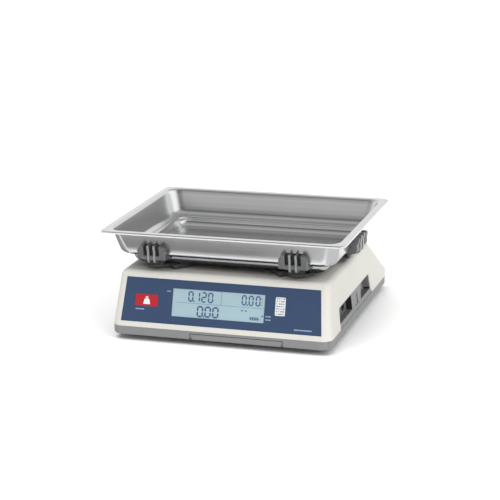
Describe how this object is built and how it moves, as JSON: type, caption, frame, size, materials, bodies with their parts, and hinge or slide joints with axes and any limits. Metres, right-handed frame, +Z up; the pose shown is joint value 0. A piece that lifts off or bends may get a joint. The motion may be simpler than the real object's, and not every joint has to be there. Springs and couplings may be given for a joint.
{
  "type": "retail weighing scale",
  "caption": "Bench price-computing scale: lift-off steel tray with a lower recess, ribbed clips on a carrier, plastic casing with a front display and a rear keypad console.",
  "frame": {"origin": "centre of the overall footprint, on the counter under the rubber feet", "axes": "+X to the right seen from the customer's side, -Y towards the customer, +Z up"},
  "size_m": [0.345, 0.335, 0.151],
  "materials": {
    "tray_steel": "satin stainless sheet",
    "carrier_plastic": "moulded, fine grain",
    "cell_aluminium": "machined",
    "screw_steel": "zinc plated",
    "shell_grey": "moulded, fine grain",
    "housing_ivory": "moulded, fine grain",
    "overlay_blue": "printed film, fine texture",
    "lcd_face": "backlit display face",
    "frame_white": "moulded",
    "board_green": "solder mask",
    "mat_rubber": "silicone",
    "battery_case": "moulded",
    "switch_black": "moulded",
    "rocker_grey": "moulded",
    "level_liquid": "tinted liquid under a clear lens",
    "key_light": "moulded, fine grain",
    "key_grey": "moulded, fine grain",
    "foot_rubber": "moulded"
  },
  "bodies": {
    "base": {"lower_shell": "shell_grey", "upper_housing": "housing_ivory", "housing_screws": "screw_steel", "load_cell": "cell_aluminium", "cell_stand": "cell_aluminium", "cell_stand_screws": "screw_steel", "stand_floor_screws": "screw_steel", "overload_stop": "screw_steel", "front_overlay": "overlay_blue", "front_lcd_glass": "lcd_face", "front_display_frame": "frame_white", "front_display_board": "board_green", "rear_overlay": "overlay_blue", "rear_lcd_glass": "lcd_face", "rear_display_frame": "frame_white", "rear_display_board": "board_green", "key_mat": "mat_rubber", "keypad_board": "board_green", "main_board": "board_green", "battery_pack": "battery_case", "switch_body": "switch_black", "power_inlet": "switch_black", "level_body": "frame_white", "level_glass": "level_liquid"},
    "platform": {"platform_frame": "carrier_plastic", "clip_front_left": "carrier_plastic", "clip_front_right": "carrier_plastic", "clip_right": "carrier_plastic", "clip_rear_right": "carrier_plastic", "clip_rear_left": "carrier_plastic", "clip_left": "carrier_plastic", "cell_post": "cell_aluminium", "cell_post_screws": "screw_steel"},
    "tray": {"tray": "tray_steel"},
    "rocker": {"switch_rocker": "rocker_grey"},
    "battery_door": {"battery_cover": "shell_grey"},
    "key_7_body": {"key_7": "key_light"},
    "key_8_body": {"key_8": "key_light"},
    "key_9_body": {"key_9": "key_light"},
    "key_zero_set_body": {"key_zero_set": "key_grey"},
    "key_4_body": {"key_4": "key_light"},
    "key_5_body": {"key_5": "key_light"},
    "key_6_body": {"key_6": "key_light"},
    "key_tare_body": {"key_tare": "key_grey"},
    "key_1_body": {"key_1": "key_light"},
    "key_2_body": {"key_2": "key_light"},
    "key_3_body": {"key_3": "key_light"},
    "key_add_body": {"key_add": "key_grey"},
    "key_0_body": {"key_0": "key_light"},
    "key_point_body": {"key_point": "key_light"},
    "key_clear_body": {"key_clear": "key_grey"},
    "key_total_body": {"key_total": "key_grey"},
    "foot_front_left": {"foot_stud_front_left": "screw_steel"},
    "foot_front_left_pad": {"foot_pad_front_left": "foot_rubber"},
    "foot_front_right": {"foot_stud_front_right": "screw_steel"},
    "foot_front_right_pad": {"foot_pad_front_right": "foot_rubber"},
    "foot_rear_left": {"foot_stud_rear_left": "screw_steel"},
    "foot_rear_left_pad": {"foot_pad_rear_left": "foot_rubber"},
    "foot_rear_right": {"foot_stud_rear_right": "screw_steel"},
    "foot_rear_right_pad": {"foot_pad_rear_right": "foot_rubber"}
  },
  "joints": [
    {"name": "platform_sink", "type": "slide", "parent": "base", "child": "platform", "axis": [0, 0, -1], "range_m": [0, 0.0004], "stiffness_N_per_m": 400000, "deforming": ["load_cell"]},
    {"name": "tray_lift", "type": "slide", "parent": "platform", "child": "tray", "axis": [0, 0, 1], "range_m": [0, 0.06]},
    {"name": "key_7_press", "type": "slide", "parent": "base", "child": "key_7_body", "axis": [0, -0.5878, -0.809], "range_m": [0, 0.001], "stiffness_N_per_m": 400, "springref_m": -0.0005},
    {"name": "key_8_press", "type": "slide", "parent": "base", "child": "key_8_body", "axis": [0, -0.5878, -0.809], "range_m": [0, 0.001], "stiffness_N_per_m": 400, "springref_m": -0.0005},
    {"name": "key_9_press", "type": "slide", "parent": "base", "child": "key_9_body", "axis": [0, -0.5878, -0.809], "range_m": [0, 0.001], "stiffness_N_per_m": 400, "springref_m": -0.0005},
    {"name": "key_zero_set_press", "type": "slide", "parent": "base", "child": "key_zero_set_body", "axis": [0, -0.5878, -0.809], "range_m": [0, 0.001], "stiffness_N_per_m": 400, "springref_m": -0.0005},
    {"name": "key_4_press", "type": "slide", "parent": "base", "child": "key_4_body", "axis": [0, -0.5878, -0.809], "range_m": [0, 0.001], "stiffness_N_per_m": 400, "springref_m": -0.0005},
    {"name": "key_5_press", "type": "slide", "parent": "base", "child": "key_5_body", "axis": [0, -0.5878, -0.809], "range_m": [0, 0.001], "stiffness_N_per_m": 400, "springref_m": -0.0005},
    {"name": "key_6_press", "type": "slide", "parent": "base", "child": "key_6_body", "axis": [0, -0.5878, -0.809], "range_m": [0, 0.001], "stiffness_N_per_m": 400, "springref_m": -0.0005},
    {"name": "key_tare_press", "type": "slide", "parent": "base", "child": "key_tare_body", "axis": [0, -0.5878, -0.809], "range_m": [0, 0.001], "stiffness_N_per_m": 400, "springref_m": -0.0005},
    {"name": "key_1_press", "type": "slide", "parent": "base", "child": "key_1_body", "axis": [0, -0.5878, -0.809], "range_m": [0, 0.001], "stiffness_N_per_m": 400, "springref_m": -0.0005},
    {"name": "key_2_press", "type": "slide", "parent": "base", "child": "key_2_body", "axis": [0, -0.5878, -0.809], "range_m": [0, 0.001], "stiffness_N_per_m": 400, "springref_m": -0.0005},
    {"name": "key_3_press", "type": "slide", "parent": "base", "child": "key_3_body", "axis": [0, -0.5878, -0.809], "range_m": [0, 0.001], "stiffness_N_per_m": 400, "springref_m": -0.0005},
    {"name": "key_add_press", "type": "slide", "parent": "base", "child": "key_add_body", "axis": [0, -0.5878, -0.809], "range_m": [0, 0.001], "stiffness_N_per_m": 400, "springref_m": -0.0005},
    {"name": "key_0_press", "type": "slide", "parent": "base", "child": "key_0_body", "axis": [0, -0.5878, -0.809], "range_m": [0, 0.001], "stiffness_N_per_m": 400, "springref_m": -0.0005},
    {"name": "key_point_press", "type": "slide", "parent": "base", "child": "key_point_body", "axis": [0, -0.5878, -0.809], "range_m": [0, 0.001], "stiffness_N_per_m": 400, "springref_m": -0.0005},
    {"name": "key_clear_press", "type": "slide", "parent": "base", "child": "key_clear_body", "axis": [0, -0.5878, -0.809], "range_m": [0, 0.001], "stiffness_N_per_m": 400, "springref_m": -0.0005},
    {"name": "key_total_press", "type": "slide", "parent": "base", "child": "key_total_body", "axis": [0, -0.5878, -0.809], "range_m": [0, 0.001], "stiffness_N_per_m": 400, "springref_m": -0.0005},
    {"name": "power_rocker", "type": "hinge", "parent": "base", "child": "rocker", "pos_m": [0.14373, 0.038, 0.03722], "axis": [-0.1132, 0, 0.9936], "range_deg": [-20, 0]},
    {"name": "battery_door_slide", "type": "slide", "parent": "base", "child": "battery_door", "axis": [0, -1, 0], "range_m": [0, 0.105]},
    {"name": "foot_front_left_travel", "type": "slide", "parent": "base", "child": "foot_front_left", "axis": [0, 0, 1], "range_m": [-0.006, 0.002]},
    {"name": "foot_front_left_turn", "type": "hinge", "parent": "foot_front_left", "child": "foot_front_left_pad", "pos_m": [-0.122, -0.124, 0.003], "axis": [0, 0, 1], "range_deg": [-1730, 578]},
    {"name": "foot_front_right_travel", "type": "slide", "parent": "base", "child": "foot_front_right", "axis": [0, 0, 1], "range_m": [-0.006, 0.002]},
    {"name": "foot_front_right_turn", "type": "hinge", "parent": "foot_front_right", "child": "foot_front_right_pad", "pos_m": [0.122, -0.124, 0.003], "axis": [0, 0, 1], "range_deg": [-1730, 578]},
    {"name": "foot_rear_left_travel", "type": "slide", "parent": "base", "child": "foot_rear_left", "axis": [0, 0, 1], "range_m": [-0.006, 0.002]},
    {"name": "foot_rear_left_turn", "type": "hinge", "parent": "foot_rear_left", "child": "foot_rear_left_pad", "pos_m": [-0.122, 0.124, 0.003], "axis": [0, 0, 1], "range_deg": [-1730, 578]},
    {"name": "foot_rear_right_travel", "type": "slide", "parent": "base", "child": "foot_rear_right", "axis": [0, 0, 1], "range_m": [-0.006, 0.002]},
    {"name": "foot_rear_right_turn", "type": "hinge", "parent": "foot_rear_right", "child": "foot_rear_right_pad", "pos_m": [0.122, 0.124, 0.003], "axis": [0, 0, 1], "range_deg": [-1730, 578]}
  ],
  "couplings": [
    {"joint": "foot_front_left_turn", "follows": "foot_front_left_travel", "rad_per_m": 5026.6},
    {"joint": "foot_front_right_turn", "follows": "foot_front_right_travel", "rad_per_m": 5026.6},
    {"joint": "foot_rear_left_turn", "follows": "foot_rear_left_travel", "rad_per_m": 5026.6},
    {"joint": "foot_rear_right_turn", "follows": "foot_rear_right_travel", "rad_per_m": 5026.6}
  ]
}
